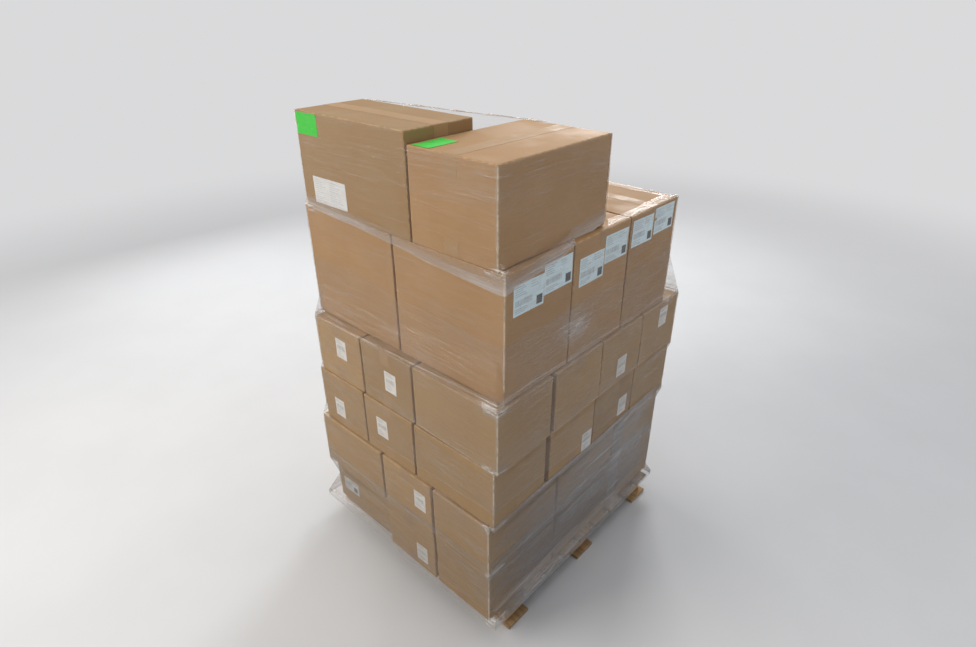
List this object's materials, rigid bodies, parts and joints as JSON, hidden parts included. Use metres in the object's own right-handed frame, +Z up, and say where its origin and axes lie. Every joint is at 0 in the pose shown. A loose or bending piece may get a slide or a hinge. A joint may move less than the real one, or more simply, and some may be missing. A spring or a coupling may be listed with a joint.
{
  "type": "stretch wrapped pallet load",
  "caption": "Cartons stacked in interlocked tiers on a light wooden block pallet, labelled and taped, and wrapped in clear stretch film down to the deck.",
  "frame": {"origin": "middle of the pallet's underside, on the floor", "axes": "+Z up; +X along the load's front from left to right; +Y from the front to the back"},
  "size_m": [1.1022, 1.1962, 1.9152],
  "materials": {
    "pallet_wood": "matte",
    "cardboard": "matte",
    "film": "gloss",
    "label_paper": "satin",
    "sticker_green": "satin",
    "tape": "gloss"
  },
  "bodies": {
    "root": {"blocks": "pallet_wood", "bottom_boards": "pallet_wood", "contents_label": "label_paper", "deck_boards": "pallet_wood", "routing_label": "label_paper", "shipping_labels": "label_paper", "sticker_front": "sticker_green", "sticker_top": "sticker_green", "stock_labels": "label_paper", "stretch_film": "film", "stringer_boards": "pallet_wood", "tier1_back_right": "cardboard", "tier1_front_left": "cardboard", "tier1_front_middle": "cardboard", "tier1_front_right": "cardboard", "tier1_inner": "cardboard", "tier1_left_2": "cardboard", "tier1_left_3": "cardboard", "tier1_left_4": "cardboard", "tier1_right_2": "cardboard", "tier2_back_right": "cardboard", "tier2_front_left": "cardboard", "tier2_front_middle": "cardboard", "tier2_front_right": "cardboard", "tier2_inner": "cardboard", "tier2_left_2": "cardboard", "tier2_left_3": "cardboard", "tier2_left_4": "cardboard", "tier2_right_2": "cardboard", "tier3_back_left": "cardboard", "tier3_front_left": "cardboard", "tier3_front_middle": "cardboard", "tier3_front_right": "cardboard", "tier3_inner": "cardboard", "tier3_left_2": "cardboard", "tier3_right_2": "cardboard", "tier3_right_3": "cardboard", "tier3_right_4": "cardboard", "tier4_back_left": "cardboard", "tier4_front_left": "cardboard", "tier4_front_middle": "cardboard", "tier4_front_right": "cardboard", "tier4_inner": "cardboard", "tier4_left_2": "cardboard", "tier4_right_2": "cardboard", "tier4_right_3": "cardboard", "tier4_right_4": "cardboard", "tier5_back_left": "cardboard", "tier5_back_right": "cardboard", "tier5_front_left": "cardboard", "tier5_front_right": "cardboard", "tier5_middle_left": "cardboard", "tier5_middle_right": "cardboard", "top_carton_left": "cardboard", "top_carton_right": "cardboard", "top_tape_left": "tape", "top_tape_right": "tape"}
  },
  "joints": []
}
